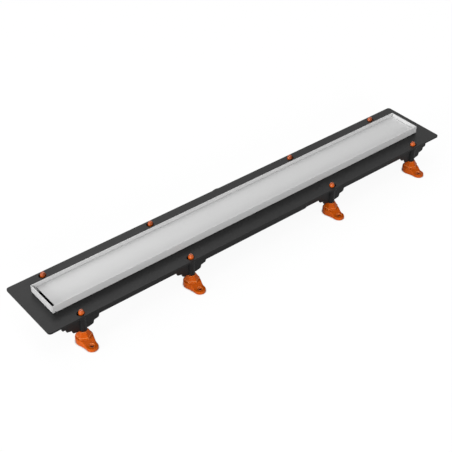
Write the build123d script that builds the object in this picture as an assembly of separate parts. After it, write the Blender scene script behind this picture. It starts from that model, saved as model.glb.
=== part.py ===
from build123d import *
import os
from math import copysign

# Linear floor drain: a moulded channel body, a folded steel frame with a low cover plate, a trap
# hood over the outlet weir, and eight screw feet. Sizes are in millimetres. X runs along the drain,
# the outlet points to +Y, and Z is up from the floor. The feet are screwed right in.

# Flange of the channel body
flange_length = 908.0
flange_width = 138.5
flange_thickness = 3.0
flange_corner = 5.5
flange_height = 60.5

# Folded steel frame that stands on the flange
frame_length = 850.0
frame_width = 67.5
frame_height = 15.4
sheet = 1.2
bend_inside = 0.8
frame_side_ledge = 4.85
frame_end_ledge = 3.0
ledge_corner = 3.0
tab_length = 24.0
tab_depth = 8.0
tab_places = (-300.0, -120.0, 120.0, 300.0)
notch_radius = 1.9
notch_from_corner = 6.4
end_notch_radius = 0.9
end_notch_from_corner = 4.2
notch_rise = 0.85
seam_gap = 1.0

# Cover plate, inside the frame
cover_recess = 7.3
cover_side_gap = 0.3
cover_edge = 0.5
cover_end_gap = 0.6
inlet_slot = 7.9

# Trough and sump, inside sizes; the depths are below the top of the flange
frame_land = 4.25
wall = 2.5
trough_end_depth = 19.0
trough_middle_depth = 26.0
trough_corner = 4.0
floor_round = 3.0
sump_length = 273.0
sump_depth = 51.5
sump_corner = 10.0

# Weir in front of the outlet, and the outlet spigot
weir_length = 48.0
weir_reach = 21.5
weir_depth = 24.0
weir_wall = 2.0
outlet_radius = 20.0
outlet_wall = 2.0
outlet_depth = 31.8
outlet_reach = 84.5
outlet_edge = 1.0
outlet_shoulder = 2.0
socket_radius = 27.0

# Long ribs under the flange, with a stepped bracket at each foot
foot_rows = 59.5
foot_from_end = 65.9
inner_foot = 166.7
rib_thickness = 2.2
rib_depth = 18.6
rib_end = 38.6
bracket_half = 32.2
bracket_steps = 2
step_run = 11.0
step_drop = 8.4
step_rise = 6.4
step_lean = 1.6
step_round = 3.0
step_root = 1.2
cross_rib_places = (-278.3, -84.0, 84.0, 278.3)
gusset_inner_depth = 24.0
gusset_outer_depth = 32.0

# Guide tubes for the spindles
guide_length = 36.2
guide_radius = 6.5
guide_edge = 0.5
pocket_depth = 8.0
pocket_shift = 2.4
pocket_margin = 0.8
pocket_wall = 1.4

# Spindles
spindle_radius = 5.0
running_clearance = 0.08
collar_gap = 0.3
shank_above_flange = 1.6
tip_above_flange = 6.3
tip_radius = 2.9
tip_round = 1.1
driver_slot_width = 1.2
driver_slot_depth = 1.8
hex_across_flats = 24.4
hex_top = 15.1
hex_bottom = 11.1
neck_across_flats = 23.2
neck_taper = 26.0
neck_round = 3.0
hex_sides = 6
hex_turn = 30.0
hex_edge = 0.4
pivot_radius = 4.5
bead_radius = 5.2
bead_height = 1.5
pivot_bottom = 2.1

# Foot bases
foot_play = 0.1
heel_radius = 15.0
tab_reach = 23.5
foot_tab_radius = 10.3
foot_tab_thickness = 5.4
waist_radius = 45.0
foot_edge = 1.5
ramp_start = 11.5
ramp_end = 19.0
ramp_top_round = 3.0
ramp_foot_round = 8.0
screw_hole_radius = 2.25
countersink_radius = 4.6
countersink_depth = 1.2
screw_floor = 3.0
pivot_floor = 1.6

# Trap hood over the weir, and its seal
hood_gap = 5.2
hood_wall = 1.8
hood_top_depth = 8.2
hood_skirt_depth = 46.0
hood_corner = 5.0
hood_top_round = 2.0
leg_size = 3.0
leg_margin = 1.0
leg_side_gap = 0.25
seal_thickness = 2.3
seal_width = 2.5
loop_radius = 9.0
loop_band = 2.5
loop_width = 6.0
loop_sink = 0.5

# How far a cutting or joining shape runs past a face, and how near counts as on it
past = 1.0
near = 0.1

# Worked-out sizes
flange_underside = flange_height - flange_thickness
outer_foot = flange_length / 2 - foot_from_end
foot_places = (-outer_foot, -inner_foot, inner_foot, outer_foot)
trough_length = frame_length - 2 * frame_land
trough_width = frame_width - 2 * frame_land
outlet_height = flange_height - outlet_depth
outlet_seat = trough_width / 2 + wall + outlet_shoulder
guide_bottom = flange_height - guide_length
sump_floor = flange_height - sump_depth
weir_half = weir_length / 2
hood_half = weir_half + hood_gap + hood_wall
hood_front = trough_width / 2 - weir_reach - hood_gap - hood_wall
hood_back = trough_width / 2 - seal_thickness
heel_top = hex_bottom - foot_play
low = (Align.CENTER, Align.CENTER, Align.MIN)
high = (Align.CENTER, Align.CENTER, Align.MAX)


def corners_at(shape, points):
    """The shape's own corners that lie nearest to the points."""
    corners = shape.vertices()
    return [corners.sort_by_distance(point)[0] for point in points]


def face_xz(points):
    """A flat face in the XZ plane through (x, z) points."""
    return make_face(Polyline([(x, 0, z) for x, z in points], close=True))


def face_yz(points):
    """A flat face in the YZ plane through (y, z) points."""
    return make_face(Polyline([(0, y, z) for y, z in points], close=True))


def trough_block(grow, top):
    """The trough's shape with its falling floor, grown by a wall."""
    half = trough_length / 2 + grow
    side = trough_width / 2 + grow
    end_z = flange_height - trough_end_depth - grow
    middle_z = flange_height - trough_middle_depth - grow
    fall_end = sump_length / 2
    outline = [(-half, top), (-half, end_z), (-fall_end, middle_z),
               (fall_end, middle_z), (half, end_z), (half, top)]
    block = extrude(face_xz(outline), side, both=True)
    block = fillet(block.edges().filter_by(Axis.Z), trough_corner + grow)
    side_edges = block.edges().filter_by(lambda edge: abs(abs(edge.center().Y) - side) < near)
    floor_edges = side_edges.filter_by(lambda edge: edge.center().Z < end_z + near)
    return fillet(floor_edges, floor_round + grow)


def sump_block(grow, top):
    """The sump's shape, grown by a wall."""
    bottom = sump_floor - grow
    outline = RectangleRounded(sump_length + 2 * grow, trough_width + 2 * grow, sump_corner + grow)
    block = Pos(0, 0, bottom) * extrude(outline, top - bottom)
    return fillet(block.faces().sort_by(Axis.Z)[0].edges(), floor_round + grow)


def rib_outline():
    """One long rib seen from the side: its lower edge steps down to each guide tube."""
    level = flange_height - rib_depth
    first = foot_places[0] - rib_end
    last = foot_places[-1] + rib_end
    points = [(first, flange_underside), (first, level)]
    crests = [(first, level), (last, level)]
    roots = []
    for place in foot_places:
        left = []
        for step in range(bracket_steps):
            reach = bracket_half - step * step_run
            z = level - step * step_drop
            left += [(reach, z), (reach - step_lean, z - step_rise)]
            roots.append((reach, z, place))
            crests += [(place + side * (reach - step_lean), z - step_rise) for side in (-1, 1)]
        left.append((bracket_half - bracket_steps * step_run, level - bracket_steps * step_drop))
        points += [(place - reach, z) for reach, z in left]
        points += [(place + reach, z) for reach, z in reversed(left)]
    points += [(last, level), (last, flange_underside)]
    face = face_xz(points)
    root_points = [(place + side * reach, 0, z) for reach, z, place in roots for side in (-1, 1)]
    face = fillet(corners_at(face, root_points), step_root)
    return fillet(corners_at(face, [(x, 0, z) for x, z in crests]), step_round)


def long_rib(side):
    """A long rib on one side; the far one has an arch that leaves room for the pipe's socket."""
    rib = Pos(0, side * foot_rows, 0) * extrude(rib_outline(), rib_thickness / 2, both=True)
    if side > 0:
        rib -= Pos(0, foot_rows, outlet_height) * Rot(90, 0, 0) * Cylinder(socket_radius, 4 * rib_thickness)
    return rib


def cross_rib(x, side, inner_depth, outer_depth):
    """A rib across the gap between the trough's wall and a long rib."""
    inner = trough_width / 2 + wall / 2
    outline = [(side * inner, flange_underside), (side * inner, flange_height - inner_depth),
               (side * foot_rows, flange_height - outer_depth), (side * foot_rows, flange_underside)]
    return Pos(x, 0, 0) * extrude(face_yz(outline), rib_thickness / 2, both=True)


def guide_tube(x, y):
    tube = Cylinder(guide_radius, guide_length - flange_thickness / 2, align=low)
    tube = chamfer(tube.edges().sort_by(Axis.Z)[0], guide_edge)
    return Pos(x, y, guide_bottom) * tube


def pocket_block(x, y, grow, top):
    """The pocket round a spindle's top, drawn out towards the drain's end, grown by a wall."""
    bottom = flange_height - pocket_depth - grow
    outline = SlotCenterToCenter(pocket_shift, 2 * (spindle_radius + pocket_margin + grow))
    return Pos(x + copysign(pocket_shift / 2, x), y, bottom) * extrude(outline, top - bottom)


def guide_hole(x, y):
    """The spindle's bore and the pocket round its top."""
    bore = Cylinder(spindle_radius + running_clearance, guide_length + 2 * past, align=low)
    return Pos(x, y, guide_bottom - past) * bore + pocket_block(x, y, 0, flange_height + past)


def outlet_pipe(radius, start, end, edge):
    length = end - start
    pipe = Cylinder(radius, length, align=low)
    if edge > 0:
        pipe = chamfer(pipe.edges().sort_by(Axis.Z)[-1], edge)
    return Pos(0, start, outlet_height) * Rot(-90, 0, 0) * pipe


def weir():
    """Three walls that stand on the sump's floor round the outlet's mouth."""
    height = sump_depth - weir_depth
    outer = Box(weir_length, weir_reach, height, align=(Align.CENTER, Align.MAX, Align.MIN))
    inner = Box(weir_length - 2 * weir_wall, weir_reach - weir_wall, height,
                align=(Align.CENTER, Align.MAX, Align.MIN))
    return Pos(0, trough_width / 2, sump_floor) * (outer - inner)


def channel_body():
    outline = RectangleRounded(flange_length, flange_width, flange_corner)
    body = Pos(0, 0, flange_underside) * extrude(outline, flange_thickness)
    body += trough_block(wall, flange_underside + flange_thickness / 2)
    body += sump_block(wall, flange_underside)
    places = [(x, side * foot_rows) for side in (-1, 1) for x in foot_places]
    for side in (-1, 1):
        body += long_rib(side)
        for x in (-trough_length / 2, trough_length / 2):
            body += cross_rib(x, side, rib_depth, rib_depth)
        for x in cross_rib_places:
            body += cross_rib(x, side, rib_depth, rib_depth)
        for x in foot_places:
            body += cross_rib(x, side, gusset_inner_depth, gusset_outer_depth)
    for x, y in places:
        body += guide_tube(x, y)
        body += pocket_block(x, y, pocket_wall, flange_underside + flange_thickness / 2)
    pipe_start = trough_width / 2 - floor_round
    body += outlet_pipe(outlet_radius + outlet_wall, pipe_start, outlet_seat, 0)
    body += outlet_pipe(outlet_radius, pipe_start, outlet_reach, outlet_edge)
    body -= trough_block(0, flange_height + past)
    body -= sump_block(0, flange_height + past)
    body += weir()
    body -= outlet_pipe(outlet_radius - outlet_wall, trough_width / 2 - weir_wall / 2, outlet_reach + past, 0)
    for x, y in places:
        body -= guide_hole(x, y)
    return body


def frame():
    """Folded sheet: four walls up, a ledge all round, and tabs bent down into the trough."""
    half_x, half_y = frame_length / 2, frame_width / 2
    outer = Box(frame_length, frame_width, frame_height, align=low)
    outer = fillet(outer.faces().sort_by(Axis.Z)[0].edges(), bend_inside + sheet)
    inner = Pos(0, 0, sheet) * Box(frame_length - 2 * sheet, frame_width - 2 * sheet, frame_height, align=low)
    inner = fillet(inner.faces().sort_by(Axis.Z)[0].edges(), bend_inside)
    opening_x = frame_length - 2 * (sheet + frame_end_ledge)
    opening_y = frame_width - 2 * (sheet + frame_side_ledge)
    opening = extrude(RectangleRounded(opening_x, opening_y, ledge_corner), 2 * sheet, both=True)
    folded = outer - inner - opening
    for side in (-1, 1):
        for x in tab_places:
            place = Pos(x, side * (opening_y + sheet) / 2, sheet)
            folded += place * Box(tab_length, sheet, sheet + tab_depth, align=high)
        for end in (-1, 1):
            notch = Cylinder(notch_radius, 2 * (sheet + frame_side_ledge + past))
            place = Pos(end * (half_x - notch_from_corner), side * half_y, notch_rise * notch_radius)
            folded -= place * Rot(90, 0, 0) * notch
            notch = Cylinder(end_notch_radius, 2 * bend_inside + 2 * sheet)
            place = Pos(end * half_x, side * (half_y - end_notch_from_corner), notch_rise * end_notch_radius)
            folded -= place * Rot(0, 90, 0) * notch
            seam = Box(2 * sheet + seam_gap, seam_gap, frame_height, align=low)
            folded -= Pos(end * half_x, side * (half_y - sheet - seam_gap / 2), sheet) * seam
    return Pos(0, 0, flange_height) * folded


def cover_plate():
    """Sheet with its long sides turned down; it stands on the frame's ledge, pushed to one end."""
    left = -frame_length / 2 + sheet + inlet_slot
    right = frame_length / 2 - sheet - cover_end_gap
    width = frame_width - 2 * (sheet + cover_side_gap)
    height = frame_height - cover_recess - sheet
    outer = Box(right - left, width, height, align=low)
    top_edges = outer.edges().filter_by(Axis.X).sort_by(Axis.Z)[-2:]
    outer = fillet(top_edges, cover_edge)
    outer = chamfer(outer.edges().filter_by(Axis.X).sort_by(Axis.Z)[:2], bend_inside)
    inner = Box(right - left + 2 * past, width - 2 * sheet, height - sheet, align=low)
    return Pos((left + right) / 2, 0, flange_height + sheet) * (outer - inner)


def trap_hood():
    """Hood over the weir, open below and towards the outlet, on four short legs."""
    length = 2 * hood_half
    depth = hood_back - hood_front
    height = hood_skirt_depth - hood_top_depth
    bottom = flange_height - hood_skirt_depth
    front = (Align.CENTER, Align.MIN, Align.MIN)
    outer = Box(length, depth, height, align=front)
    outer = fillet(outer.edges().filter_by(Axis.Z).sort_by(Axis.Y)[:2], hood_corner)
    outer = fillet(outer.faces().sort_by(Axis.Z)[-1].edges().sort_by(Axis.Y)[:-1], hood_top_round)
    inner = Pos(0, hood_wall, 0) * Box(length - 2 * hood_wall, depth, height - hood_wall, align=front)
    inner = fillet(inner.edges().filter_by(Axis.Z).sort_by(Axis.Y)[:2], hood_corner - hood_wall)
    hood = Pos(0, hood_front, bottom) * (outer - inner)
    leg_x = hood_half - leg_size / 2 - leg_side_gap
    for x in (-leg_x, leg_x):
        for y in (hood_front + hood_corner + leg_size / 2, hood_back - leg_size / 2 - leg_margin):
            leg = Box(leg_size, leg_size, bottom - sump_floor + leg_margin, align=low)
            hood += Pos(x, y, sump_floor) * leg
    roof = flange_height - hood_top_depth
    ring = Circle(loop_radius) - Circle(loop_radius - loop_band) - Pos(0, -loop_radius) * Rectangle(
        3 * loop_radius, 2 * loop_radius)
    loop = extrude(Plane.XZ * ring, loop_width / 2, both=True)
    return hood + Pos(0, (hood_front + hood_back) / 2, roof - loop_sink) * loop


def hood_seal():
    """Rubber strip, an upside-down U, between the hood's back edge and the sump's wall."""
    bottom = flange_height - hood_skirt_depth
    height = hood_skirt_depth - hood_top_depth
    outer = Box(2 * hood_half, seal_thickness, height, align=(Align.CENTER, Align.MIN, Align.MIN))
    inner = Box(2 * (hood_half - seal_width), seal_thickness, height - seal_width,
                align=(Align.CENTER, Align.MIN, Align.MIN))
    return Pos(0, hood_back, bottom) * (outer - inner)


def pivot_shape(grow, bottom, top):
    """The spindle's lower pivot with its snap bead, or, grown, the hole that holds it."""
    bead_top = pivot_bottom + bead_height + grow
    pin = Cylinder(pivot_radius + grow, top - bottom, align=low)
    bead = Cylinder(bead_radius + grow, bead_top - bottom, align=low)
    return Pos(0, 0, bottom) * (pin + bead)


def hexagon(across_flats):
    """A hexagon with corners towards +Y and -Y."""
    return RegularPolygon(across_flats / 2, hex_sides, major_radius=False, rotation=hex_turn)


def spindle():
    """Screw spindle: tapered tip, shank, hexagonal neck and collar, and the pivot below."""
    neck_top = guide_bottom - collar_gap
    shank_top = flange_height + shank_above_flange
    shank = Cylinder(spindle_radius, shank_top - neck_top + past, align=low)
    tip_height = tip_above_flange - shank_above_flange
    tip = Cone(spindle_radius, tip_radius, tip_height, align=low)
    tip = fillet(tip.edges().sort_by(Axis.Z)[-1], tip_round)
    tip -= Pos(0, 0, tip_height) * Box(3 * tip_radius, driver_slot_width, driver_slot_depth, align=high)
    collar = extrude(hexagon(hex_across_flats), hex_top - hex_bottom)
    collar = chamfer(collar.faces().sort_by(Axis.Z)[-1].edges(), hex_edge)
    neck = extrude(hexagon(neck_across_flats), neck_top - hex_top, taper=neck_taper)
    slanted = [e for e in neck.edges() if abs(e.center().Z - (neck_top - hex_top) / 2) < near]
    neck = fillet(slanted, neck_round)
    upper = Pos(0, 0, neck_top - past) * shank + Pos(0, 0, shank_top) * tip
    lower = Pos(0, 0, hex_bottom) * collar + pivot_shape(0, pivot_bottom, hex_bottom + past)
    return upper + Pos(0, 0, hex_top) * neck + lower


def foot_outline():
    """Heel circle and tab circle joined by two hollow arcs."""
    heel_arm = heel_radius + waist_radius
    tab_arm = foot_tab_radius + waist_radius
    along = (heel_arm**2 - tab_arm**2 + tab_reach**2) / (2 * tab_reach)
    out = (heel_arm**2 - along**2) ** 0.5
    heel_x, heel_y = out * heel_radius / heel_arm, -along * heel_radius / heel_arm
    tab_x = out * foot_tab_radius / tab_arm
    tab_y = -tab_reach + (tab_reach - along) * foot_tab_radius / tab_arm
    middle = (out - waist_radius, -along)
    right = ThreePointArc((heel_x, heel_y), middle, (tab_x, tab_y))
    left = ThreePointArc((-tab_x, tab_y), (-middle[0], middle[1]), (-heel_x, heel_y))
    web = make_face([right, Line((tab_x, tab_y), (-tab_x, tab_y)), left,
                     Line((-heel_x, heel_y), (heel_x, heel_y))])
    return Circle(heel_radius) + web + Pos(0, -tab_reach) * Circle(foot_tab_radius)


def foot_base():
    """Foot with its tab towards -Y, standing on the floor under a spindle at the origin."""
    tab_end = -tab_reach - foot_tab_radius - past
    heel_end = heel_radius + past
    side_view = face_yz([(tab_end, 0), (tab_end, foot_tab_thickness), (-ramp_end, foot_tab_thickness),
                         (-ramp_start, heel_top), (heel_end, heel_top), (heel_end, 0)])
    side_view = fillet(corners_at(side_view, [(0, -ramp_end, foot_tab_thickness)]), ramp_foot_round)
    side_view = fillet(corners_at(side_view, [(0, -ramp_start, heel_top)]), ramp_top_round)
    foot = extrude(foot_outline(), heel_top) & extrude(side_view, heel_end, both=True)
    rim = [edge for edge in foot.edges() if edge.geom_type != GeomType.LINE and edge.center().Z > near]
    foot = fillet(rim, foot_edge) - pivot_shape(running_clearance, pivot_floor, heel_top + past)
    hole = Cylinder(screw_hole_radius, 2 * foot_tab_thickness)
    sink = Pos(0, 0, screw_floor) * Cone(screw_hole_radius, countersink_radius, countersink_depth, align=low)
    sink += Pos(0, 0, screw_floor + countersink_depth) * Cylinder(countersink_radius, heel_top, align=low)
    return foot - Pos(0, -tab_reach, 0) * (hole + sink)


def build_parts():
    parts = {
        "channel_body": channel_body(),
        "frame": frame(),
        "cover_plate": cover_plate(),
        "trap_hood": trap_hood(),
        "hood_seal": hood_seal(),
    }
    one_spindle = spindle()
    one_foot = foot_base()
    places = [(x, side) for side in (-1, 1) for x in foot_places]
    for number, (x, side) in enumerate(places, start=1):
        turn = 0 if side < 0 else 180
        place = Pos(x, side * foot_rows, 0) * Rot(0, 0, turn)
        parts[f"spindle_{number}"] = place * one_spindle
        parts[f"foot_base_{number}"] = place * one_foot
    return parts


os.makedirs("parts", exist_ok=True)
for name, shape in build_parts().items():
    export_step(shape, f"parts/{name}.step")
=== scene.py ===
import math

import bmesh
import bpy
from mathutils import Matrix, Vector


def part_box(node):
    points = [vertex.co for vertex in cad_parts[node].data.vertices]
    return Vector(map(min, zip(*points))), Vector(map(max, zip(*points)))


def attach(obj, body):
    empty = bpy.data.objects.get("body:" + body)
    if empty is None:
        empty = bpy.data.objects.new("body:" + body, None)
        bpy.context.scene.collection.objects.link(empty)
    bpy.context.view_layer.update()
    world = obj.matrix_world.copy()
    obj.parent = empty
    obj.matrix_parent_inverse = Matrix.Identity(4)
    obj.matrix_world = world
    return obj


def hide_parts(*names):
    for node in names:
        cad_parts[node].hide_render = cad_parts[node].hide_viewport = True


# Looks of the linear floor drain. Sizes are in metres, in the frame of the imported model.
MM = 0.001

# Spindles: the plain shank of the CAD model gets a screw thread, apart from the top of it.
# Each knot of the profile is a share of one turn and a share of the thread's depth.
SPINDLE_COUNT = 8
SHANK_RADIUS = 5.0 * MM
SHANK_TOLERANCE = 0.02 * MM
UPRIGHT = 0.1
THREAD_POINTS = 72
THREAD_PITCH = 3.0 * MM
THREAD_DEPTH = 0.7 * MM
THREAD_PROFILE = ((0.0, 0.0), (0.26, 0.0), (0.5, 1.0), (0.76, 1.0))
THREAD_RUN_OUT = 1.5 * MM
THREAD_OVERLAP = 0.3 * MM
PLAIN_TOP = 5.0 * MM
WELD_DISTANCE = 0.001 * MM
SHARP_ANGLE = 32.0

# Noise: the range of values that it takes most of the time, and its usual make
NOISE_LOW = 0.3
NOISE_HIGH = 0.7
NOISE_DETAIL = 4.0
NOISE_ROUGHNESS = 0.55
EVEN = (1, 1, 1)
BEVEL_SAMPLES = 6

# Moulded plastics: two tones, range of roughness, specular level, radius of the edges, and how
# strongly the grain stands out
BLACK = {"dark": (0.0055, 0.0055, 0.0057), "light": (0.0075, 0.0075, 0.0077), "rough": (0.36, 0.42),
         "specular": 0.29, "edge": 0.5 * MM, "relief": 0.20}
ORANGE = {"dark": (0.39, 0.060, 0.0012), "light": (0.43, 0.069, 0.0018), "rough": (0.27, 0.33),
          "specular": 0.20, "edge": 0.8 * MM, "relief": 0.03}
ORANGE_TIP = {"dark": (0.40, 0.066, 0.0030), "light": (0.44, 0.076, 0.0040), "rough": (0.22, 0.27),
              "specular": 1.0, "edge": 0.3 * MM, "relief": 0.0}
GREY = {"dark": (0.16, 0.16, 0.165), "light": (0.18, 0.18, 0.185), "rough": (0.45, 0.55),
        "specular": 0.5, "edge": 0.4 * MM, "relief": 0.15}
GRAIN_SCALE = 5200.0
GRAIN_DETAIL = 3.0
GRAIN_HEIGHT = 0.06 * MM
FLOW_STRETCH = (1, 2.5, 2.5)
FLOW_SCALE = 26.0

# Painted highlight along the edges of the orange mouldings, a lighter colour in place of the light that the
# edges catch: its width, and how far the rounded normal agrees with the real one where the painted
# highlight starts and where it is full
HIGHLIGHT_WIDTH = 0.9 * MM
HIGHLIGHT_START = 1.0
HIGHLIGHT_FULL = 0.93
HIGHLIGHT_COLOUR = (0.72, 0.26, 0.09)
HIGHLIGHT_SAMPLES = 8

# Steel sheet, brushed along X
STEEL_DARK = (0.59, 0.59, 0.59)
STEEL_LIGHT = (0.64, 0.64, 0.64)
STEEL_ROUGH = (0.50, 0.56)
STEEL_METALLIC = 0.3
STEEL_ANISOTROPIC = 0.6
STEEL_EDGE = 0.35 * MM
BRUSH_STRETCH = (1, 90, 90)
BRUSH_SCALE = 42.0
BRUSH_DETAIL = 6.0
BRUSH_ROUGHNESS = 0.7
BRUSH_RELIEF = 0.08
BRUSH_HEIGHT = 0.05 * MM
CLOUD_STRETCH = (1, 3, 3)
CLOUD_SCALE = 9.0
FACING_END = 0.8

# Rubber of the seal
RUBBER_DARK = (0.014, 0.014, 0.014)
RUBBER_LIGHT = (0.024, 0.024, 0.024)
RUBBER_ROUGH = (0.62, 0.78)
RUBBER_SCALE = 2400.0
RUBBER_EDGE = 0.3 * MM
RUBBER_RELIEF = 0.3
RUBBER_HEIGHT = 0.05 * MM

# Camera, worked out from the four corners of the flange in the photograph
CAMERA_PLACE = (-0.94718, -1.12275, 1.15859)
CAMERA_PITCH = 38.02
CAMERA_HEADING = 38.894
CAMERA_ROLL = -0.08
FOCAL_LENGTH = 79.64
SENSOR_WIDTH = 36.0

# Floor: it shows white with a share of its real shadow. Where something stands close all round,
# such as in a screw hole, it shows as it is lit. It throws back less light than white paper.
SEEN_WHITE = 1.0
FLOOR_SIZE = 14.0
FLOOR_WHITE = 0.97
FLOOR_BOUNCE = 0.4
SHADOW_SHARE = 0.07
GLOSS_FLOOR_SHARE = 0.8
HOLE_DEPTH = 6.0 * MM
HOLE_OPEN = 0.75
HOLE_SHUT = 0.50
HOLE_SAMPLES = 8

# World: strength of its light, and the side on which it is dimmer
AMBIENT = 0.83
DIM_SIDE = (0.35, -0.70, 0.62)
DIM_LEVEL = 0.15
DIM_FROM = 0.0
DIM_TO = 0.85

# Lamps: where the light comes from, width in degrees, strength, and whether gloss shows the lamp
LAMP_DISTANCE = 6.0
LAMPS = {
    "key": ((-0.97, 0.0, 0.20), 20.0, 2.6, False),
    "back": ((0.10, 0.75, 0.65), 45.0, 0.50, True),
    "front": ((-0.35, -0.90, 0.30), 20.0, 2.35, False),
    "fill": ((0.10, -0.22, 0.97), 40.0, 0.87, False),
}


def link(tree, source, target):
    tree.links.new(source, target)


def add_node(tree, kind, **settings):
    """A new node with the given attributes."""
    node = tree.nodes.new(kind)
    for key, value in settings.items():
        setattr(node, key, value)
    return node


def new_material(name):
    """A material with a fresh Principled shader; returns the material, its tree and the shader."""
    material = bpy.data.materials.new(name)
    material.use_nodes = True
    tree = material.node_tree
    return material, tree, tree.nodes["Principled BSDF"]


def object_noise(tree, stretch, scale, detail=NOISE_DETAIL, roughness=NOISE_ROUGHNESS):
    """Noise in the object's own metres, stretched by a factor along each axis."""
    place = add_node(tree, "ShaderNodeTexCoord")
    mapping = add_node(tree, "ShaderNodeMapping")
    mapping.inputs["Scale"].default_value = stretch
    noise = add_node(tree, "ShaderNodeTexNoise")
    noise.inputs["Scale"].default_value = scale
    noise.inputs["Detail"].default_value = detail
    noise.inputs["Roughness"].default_value = roughness
    link(tree, place.outputs["Object"], mapping.inputs["Vector"])
    link(tree, mapping.outputs["Vector"], noise.inputs["Vector"])
    return noise.outputs["Fac"]


def spread(tree, value, low, high):
    """A noise value spread over a range of numbers."""
    change = add_node(tree, "ShaderNodeMapRange")
    change.inputs["From Min"].default_value = NOISE_LOW
    change.inputs["From Max"].default_value = NOISE_HIGH
    change.inputs["To Min"].default_value = low
    change.inputs["To Max"].default_value = high
    link(tree, value, change.inputs["Value"])
    return change.outputs["Result"]


def two_tone(tree, value, dark, light):
    """A colour between two, chosen by a noise value."""
    ramp = add_node(tree, "ShaderNodeValToRGB")
    ramp.color_ramp.elements[0].position = NOISE_LOW
    ramp.color_ramp.elements[0].color = (*dark, 1.0)
    ramp.color_ramp.elements[1].position = NOISE_HIGH
    ramp.color_ramp.elements[1].color = (*light, 1.0)
    link(tree, value, ramp.inputs["Fac"])
    return ramp.outputs["Color"]


def soft_edges(tree, radius, height, strength, distance):
    """Rounded edge normals, with a fine relief on top of them."""
    bevel = add_node(tree, "ShaderNodeBevel", samples=BEVEL_SAMPLES)
    bevel.inputs["Radius"].default_value = radius
    bump = add_node(tree, "ShaderNodeBump")
    bump.inputs["Strength"].default_value = strength
    bump.inputs["Distance"].default_value = distance
    link(tree, height, bump.inputs["Height"])
    link(tree, bevel.outputs["Normal"], bump.inputs["Normal"])
    return bump.outputs["Normal"]


def moulded_plastic(name, dark, light, rough, specular, edge, relief):
    """Moulded plastic with a fine spark-eroded grain and faint flow marks."""
    material, tree, shader = new_material(name)
    grain = object_noise(tree, EVEN, GRAIN_SCALE, detail=GRAIN_DETAIL)
    flow = object_noise(tree, FLOW_STRETCH, FLOW_SCALE)
    link(tree, two_tone(tree, flow, dark, light), shader.inputs["Base Color"])
    link(tree, spread(tree, flow, *rough), shader.inputs["Roughness"])
    link(tree, soft_edges(tree, edge, grain, relief, GRAIN_HEIGHT), shader.inputs["Normal"])
    shader.inputs["Specular IOR Level"].default_value = specular
    return material


def paint_edge_highlight(material):
    """Mixes a lighter colour in along a moulding's edges: a painted highlight where the edges catch the
    light.
    """
    tree = material.node_tree
    colour = tree.nodes["Principled BSDF"].inputs["Base Color"]
    bevel = add_node(tree, "ShaderNodeBevel", samples=HIGHLIGHT_SAMPLES)
    bevel.inputs["Radius"].default_value = HIGHLIGHT_WIDTH
    shape = add_node(tree, "ShaderNodeNewGeometry")
    agree = add_node(tree, "ShaderNodeVectorMath", operation="DOT_PRODUCT")
    amount = add_node(tree, "ShaderNodeMapRange")
    amount.inputs["From Min"].default_value = HIGHLIGHT_START
    amount.inputs["From Max"].default_value = HIGHLIGHT_FULL
    mix = add_node(tree, "ShaderNodeMix", data_type="RGBA")
    # Colour of the painted highlight along the edges
    mix.inputs["B"].default_value = (*HIGHLIGHT_COLOUR, 1.0)
    link(tree, bevel.outputs["Normal"], agree.inputs[0])
    link(tree, shape.outputs["Normal"], agree.inputs[1])
    link(tree, agree.outputs["Value"], amount.inputs["Value"])
    link(tree, amount.outputs["Result"], mix.inputs["Factor"])
    link(tree, colour.links[0].from_socket, mix.inputs["A"])
    link(tree, mix.outputs["Result"], colour)


def brushed_steel(name):
    """Stainless sheet, brushed along X."""
    material, tree, shader = new_material(name)
    streaks = object_noise(tree, BRUSH_STRETCH, BRUSH_SCALE, BRUSH_DETAIL, BRUSH_ROUGHNESS)
    cloud = object_noise(tree, CLOUD_STRETCH, CLOUD_SCALE)
    relief = soft_edges(tree, STEEL_EDGE, streaks, BRUSH_RELIEF, BRUSH_HEIGHT)
    link(tree, two_tone(tree, streaks, STEEL_DARK, STEEL_LIGHT), shader.inputs["Base Color"])
    link(tree, spread(tree, cloud, *STEEL_ROUGH), shader.inputs["Roughness"])
    link(tree, relief, shader.inputs["Normal"])
    link(tree, across_the_brush(tree), shader.inputs["Tangent"])
    shader.inputs["Metallic"].default_value = STEEL_METALLIC
    shader.inputs["Anisotropic"].default_value = STEEL_ANISOTROPIC
    return material


def across_the_brush(tree):
    """A tangent that lies across brush lines along X, and level on the ends."""
    shape = add_node(tree, "ShaderNodeNewGeometry")
    split = add_node(tree, "ShaderNodeSeparateXYZ")
    size = add_node(tree, "ShaderNodeMath", operation="ABSOLUTE")
    facing_end = add_node(tree, "ShaderNodeMath", operation="GREATER_THAN")
    facing_end.inputs[1].default_value = FACING_END
    along = add_node(tree, "ShaderNodeVectorMath", operation="CROSS_PRODUCT")
    along.inputs[1].default_value = (1, 0, 0)
    level = add_node(tree, "ShaderNodeVectorMath", operation="CROSS_PRODUCT")
    level.inputs[1].default_value = (0, 0, 1)
    choose = add_node(tree, "ShaderNodeMix", data_type="VECTOR")
    link(tree, shape.outputs["Normal"], split.inputs[0])
    link(tree, split.outputs["X"], size.inputs[0])
    link(tree, size.outputs[0], facing_end.inputs[0])
    link(tree, shape.outputs["Normal"], along.inputs[0])
    link(tree, shape.outputs["Normal"], level.inputs[0])
    link(tree, facing_end.outputs[0], choose.inputs["Factor"])
    link(tree, along.outputs[0], choose.inputs["A"])
    link(tree, level.outputs[0], choose.inputs["B"])
    return choose.outputs["Result"]


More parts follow.
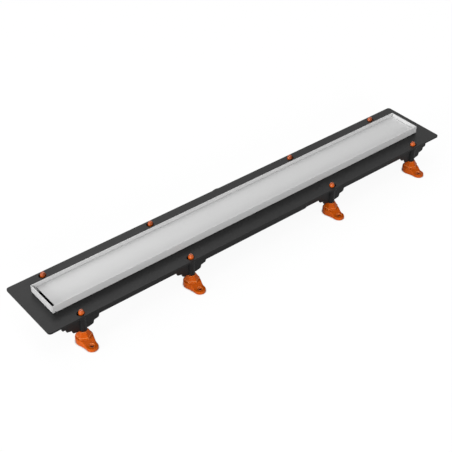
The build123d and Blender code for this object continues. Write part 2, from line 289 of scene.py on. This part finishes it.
def rubber(name):
    """Matt black rubber."""
    material, tree, shader = new_material(name)
    grain = object_noise(tree, EVEN, RUBBER_SCALE)
    relief = soft_edges(tree, RUBBER_EDGE, grain, RUBBER_RELIEF, RUBBER_HEIGHT)
    link(tree, two_tone(tree, grain, RUBBER_DARK, RUBBER_LIGHT), shader.inputs["Base Color"])
    link(tree, spread(tree, grain, *RUBBER_ROUGH), shader.inputs["Roughness"])
    link(tree, relief, shader.inputs["Normal"])
    return material


def take_plain_shank(shape, axis):
    """Deletes the plain wall of the shank from a spindle's mesh; returns its lowest and highest z."""
    def on_shank(vert):
        reach = math.hypot(vert.co.x - axis[0], vert.co.y - axis[1])
        return abs(reach - SHANK_RADIUS) < SHANK_TOLERANCE
    wall = [face for face in shape.faces if abs(face.normal.z) < UPRIGHT and all(map(on_shank, face.verts))]
    heights = [vert.co.z for face in wall for vert in face.verts]
    bmesh.ops.delete(shape, geom=wall, context="FACES")
    return min(heights), max(heights)


def ring_vert(shape, axis, reach, share, z):
    """A new vertex at a share of a turn round an axis."""
    turned = 2 * math.pi * share
    return shape.verts.new((axis[0] + reach * math.cos(turned), axis[1] + reach * math.sin(turned), z))


def thread_rows(shape, axis, bottom, thread_end):
    """Rows of vertices that climb one pitch a turn, one row for each knot of each turn's profile."""
    turns = math.ceil((thread_end - bottom) / THREAD_PITCH) + 1
    rows = []
    for turn in range(-1, turns):
        for place, height in THREAD_PROFILE:
            row = []
            for point in range(THREAD_POINTS):
                share = point / THREAD_POINTS
                z = bottom + THREAD_PITCH * (turn + place + share)
                z = min(max(z, bottom), thread_end)
                fade = min(1.0, (z - bottom) / THREAD_RUN_OUT, (thread_end - z) / THREAD_RUN_OUT)
                reach = SHANK_RADIUS - THREAD_DEPTH * (1.0 - height) * fade
                row.append(ring_vert(shape, axis, reach, share, z))
            rows.append(row)
    return rows


def join_rows(shape, rows):
    """Faces between the rows of a thread; the end of each row meets the start of the next turn's."""
    knots = len(THREAD_PROFILE)
    for index in range(len(rows) - knots - 1):
        low, high = rows[index], rows[index + 1]
        for point in range(THREAD_POINTS):
            if point + 1 < THREAD_POINTS:
                corners = (low[point], low[point + 1], high[point + 1], high[point])
            else:
                corners = (low[point], rows[index + knots][0], rows[index + knots + 1][0], high[point])
            shape.faces.new(corners).smooth = True


def add_sleeve(shape, axis, *rims):
    """A plain wall between two rims, each a z and a reach; returns its vertices."""
    low, high = [[ring_vert(shape, axis, reach, point / THREAD_POINTS, z) for point in range(THREAD_POINTS)]
                 for z, reach in rims]
    for point in range(THREAD_POINTS):
        after = (point + 1) % THREAD_POINTS
        shape.faces.new((low[point], low[after], high[after], high[point])).smooth = True
    return low + high


def add_thread(shape, axis, bottom, top):
    """Winds a screw thread round an axis, and joins it to the mesh by a plain sleeve at each end."""
    thread_end = top - PLAIN_TOP
    tucked_in = SHANK_RADIUS - THREAD_OVERLAP
    rows = thread_rows(shape, axis, bottom, thread_end)
    join_rows(shape, rows)
    added = [vert for row in rows for vert in row]
    added += add_sleeve(shape, axis, (bottom - THREAD_OVERLAP, tucked_in), (bottom, SHANK_RADIUS))
    added += add_sleeve(shape, axis, (thread_end, SHANK_RADIUS), (top + THREAD_OVERLAP, tucked_in))
    bmesh.ops.remove_doubles(shape, verts=added, dist=WELD_DISTANCE)


def add_spindles(material, tip_material):
    """Puts a spindle with a real thread in the place of each plain one; its tip is polished."""
    low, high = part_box("spindle_1")
    axis = (low.x + high.x) / 2, (low.y + high.y) / 2
    shape = bmesh.new()
    shape.from_mesh(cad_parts["spindle_1"].data)
    bottom, top = take_plain_shank(shape, axis)
    add_thread(shape, axis, bottom, top)
    bmesh.ops.translate(shape, verts=shape.verts, vec=(-axis[0], -axis[1], 0))
    mesh = bpy.data.meshes.new("threaded_spindle")
    shape.to_mesh(mesh)
    shape.free()
    mesh.set_sharp_from_angle(angle=math.radians(SHARP_ANGLE))
    mesh.materials.clear()
    mesh.materials.append(material)
    mesh.materials.append(tip_material)
    for face in mesh.polygons:
        face.material_index = int(face.center.z > top - PLAIN_TOP)
    for number in range(1, SPINDLE_COUNT + 1):
        low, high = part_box(f"spindle_{number}")
        spindle = bpy.data.objects.new(f"threaded_spindle_{number}", mesh)
        bpy.context.scene.collection.objects.link(spindle)
        spindle.location = ((low.x + high.x) / 2, (low.y + high.y) / 2, 0)
        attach(spindle, f"screw_{number}")
        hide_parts(f"spindle_{number}")


def dress(node, material):
    """Gives a CAD node its material."""
    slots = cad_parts[node].data.materials
    slots.clear()
    slots.append(material)


def dress_nodes():
    """Makes the materials, gives every CAD node its own, and swaps the spindles."""
    black = moulded_plastic("black_plastic", **BLACK)
    orange = moulded_plastic("orange_plastic", **ORANGE)
    tip = moulded_plastic("orange_tip", **ORANGE_TIP)
    grey = moulded_plastic("grey_plastic", **GREY)
    # Painted highlight along the edges of the orange mouldings
    paint_edge_highlight(orange)
    steel = brushed_steel("brushed_steel")
    dress("channel_body", black)
    dress("frame", steel)
    dress("cover_plate", steel)
    dress("trap_hood", grey)
    dress("hood_seal", rubber("seal_rubber"))
    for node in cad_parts:
        if node.startswith("foot_base"):
            dress(node, orange)
    add_spindles(orange, tip)


def seen_directly(tree):
    """1 for rays from the camera, from gloss and through glass; 0 for diffuse light."""
    path = add_node(tree, "ShaderNodeLightPath")
    both = add_node(tree, "ShaderNodeMath", operation="MAXIMUM")
    every = add_node(tree, "ShaderNodeMath", operation="MAXIMUM")
    link(tree, path.outputs["Is Camera Ray"], both.inputs[0])
    link(tree, path.outputs["Is Glossy Ray"], both.inputs[1])
    link(tree, both.outputs[0], every.inputs[0])
    link(tree, path.outputs["Is Transmission Ray"], every.inputs[1])
    return every.outputs[0]


def enclosed(tree, share):
    """1 where something stands close all round, such as in a screw hole, else the given share."""
    near = add_node(tree, "ShaderNodeAmbientOcclusion", samples=HOLE_SAMPLES)
    near.inputs["Distance"].default_value = HOLE_DEPTH
    depth = add_node(tree, "ShaderNodeMapRange")
    depth.inputs["From Min"].default_value = HOLE_OPEN
    depth.inputs["From Max"].default_value = HOLE_SHUT
    most = add_node(tree, "ShaderNodeMath", operation="MAXIMUM")
    link(tree, near.outputs["AO"], depth.inputs["Value"])
    link(tree, depth.outputs["Result"], most.inputs[0])
    link(tree, share, most.inputs[1])
    return most.outputs[0]


def matt(tree, level):
    """A diffuse shader of a grey level."""
    shader = add_node(tree, "ShaderNodeBsdfDiffuse")
    shader.inputs["Color"].default_value = (level, level, level, 1)
    return shader.outputs[0]


def mix_shaders(tree, amount, first, second):
    mix = add_node(tree, "ShaderNodeMixShader")
    link(tree, amount, mix.inputs["Fac"])
    link(tree, first, mix.inputs[1])
    link(tree, second, mix.inputs[2])
    return mix.outputs[0]


def floor_material(name):
    """Plain white where it is seen, with a share of the light and shadow on it; duller to the rest."""
    material = bpy.data.materials.new(name)
    material.use_nodes = True
    tree = material.node_tree
    tree.nodes.clear()
    bounce = matt(tree, FLOOR_BOUNCE)
    white = add_node(tree, "ShaderNodeEmission")
    white.inputs["Strength"].default_value = SEEN_WHITE
    in_gloss = add_node(tree, "ShaderNodeLightPath").outputs["Is Glossy Ray"]
    share = add_node(tree, "ShaderNodeMapRange")
    share.inputs["To Min"].default_value = SHADOW_SHARE
    share.inputs["To Max"].default_value = GLOSS_FLOOR_SHARE
    link(tree, in_gloss, share.inputs["Value"])
    lit = mix_shaders(tree, enclosed(tree, in_gloss), matt(tree, FLOOR_WHITE), bounce)
    shown = mix_shaders(tree, enclosed(tree, share.outputs["Result"]), white.outputs[0], lit)
    out = add_node(tree, "ShaderNodeOutputMaterial")
    link(tree, mix_shaders(tree, seen_directly(tree), bounce, shown), out.inputs["Surface"])
    return material


def add_floor():
    mesh = bpy.data.meshes.new("studio_floor")
    half = FLOOR_SIZE / 2
    corners = [(-half, -half, 0), (half, -half, 0), (half, half, 0), (-half, half, 0)]
    mesh.from_pydata(corners, [], [(0, 1, 2, 3)])
    floor = bpy.data.objects.new("studio_floor", mesh)
    bpy.context.scene.collection.objects.link(floor)
    mesh.materials.append(floor_material("studio_floor"))


def add_world():
    """A white studio that lights less from high up in front, on the viewer's side."""
    world = bpy.data.worlds.new("studio")
    bpy.context.scene.world = world
    world.use_nodes = True
    tree = world.node_tree
    sky = tree.nodes["Background"]
    sky.inputs["Color"].default_value = (1, 1, 1, 1)
    level = add_node(tree, "ShaderNodeMapRange")
    level.inputs["To Min"].default_value = AMBIENT
    level.inputs["To Max"].default_value = SEEN_WHITE
    place = add_node(tree, "ShaderNodeTexCoord")
    towards = add_node(tree, "ShaderNodeVectorMath", operation="DOT_PRODUCT")
    towards.inputs[1].default_value = Vector(DIM_SIDE).normalized()
    shade = add_node(tree, "ShaderNodeMapRange", interpolation_type="SMOOTHSTEP")
    shade.inputs["From Min"].default_value = DIM_FROM
    shade.inputs["From Max"].default_value = DIM_TO
    shade.inputs["To Min"].default_value = 1.0
    shade.inputs["To Max"].default_value = DIM_LEVEL
    path = add_node(tree, "ShaderNodeLightPath")
    kept = add_node(tree, "ShaderNodeMath", operation="MAXIMUM")
    strength = add_node(tree, "ShaderNodeMath", operation="MULTIPLY")
    link(tree, seen_directly(tree), level.inputs["Value"])
    link(tree, place.outputs["Generated"], towards.inputs[0])
    link(tree, towards.outputs["Value"], shade.inputs["Value"])
    link(tree, shade.outputs["Result"], kept.inputs[0])
    link(tree, path.outputs["Is Camera Ray"], kept.inputs[1])
    link(tree, level.outputs["Result"], strength.inputs[0])
    link(tree, kept.outputs[0], strength.inputs[1])
    link(tree, strength.outputs[0], sky.inputs["Strength"])


def add_lamp(name, comes_from, width, strength, in_gloss):
    """A round soft lamp that points at the drain, as wide from there as its width in degrees."""
    data = bpy.data.lights.new(name, "AREA")
    data.shape = "DISK"
    data.size = 2 * LAMP_DISTANCE * math.tan(math.radians(width / 2))
    data.energy = strength * math.pi * LAMP_DISTANCE ** 2
    lamp = bpy.data.objects.new(name, data)
    bpy.context.scene.collection.objects.link(lamp)
    direction = Vector(comes_from).normalized()
    lamp.location = direction * LAMP_DISTANCE
    lamp.rotation_euler = direction.to_track_quat("Z", "Y").to_euler()
    lamp.visible_glossy = in_gloss


def add_camera():
    data = bpy.data.cameras.new("camera")
    data.lens = FOCAL_LENGTH
    data.sensor_width = SENSOR_WIDTH
    camera = bpy.data.objects.new("camera", data)
    bpy.context.scene.collection.objects.link(camera)
    camera.location = CAMERA_PLACE
    turns = (90 - CAMERA_PITCH, 0, -CAMERA_HEADING)
    camera.rotation_euler = [math.radians(turn) for turn in turns]
    bpy.context.view_layer.update()
    camera.rotation_euler.rotate_axis("Z", math.radians(CAMERA_ROLL))
    bpy.context.scene.camera = camera


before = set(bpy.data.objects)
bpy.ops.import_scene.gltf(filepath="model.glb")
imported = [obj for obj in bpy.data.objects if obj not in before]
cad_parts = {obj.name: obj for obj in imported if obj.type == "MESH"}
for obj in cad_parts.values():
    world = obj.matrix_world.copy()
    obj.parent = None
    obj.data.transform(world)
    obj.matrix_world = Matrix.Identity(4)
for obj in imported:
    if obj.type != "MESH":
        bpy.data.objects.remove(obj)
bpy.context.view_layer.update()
bpy.context.scene.view_settings.view_transform = "Standard"
dress_nodes()
add_floor()
add_world()
for lamp_name, lamp_settings in LAMPS.items():
    add_lamp(lamp_name, *lamp_settings)
add_camera()
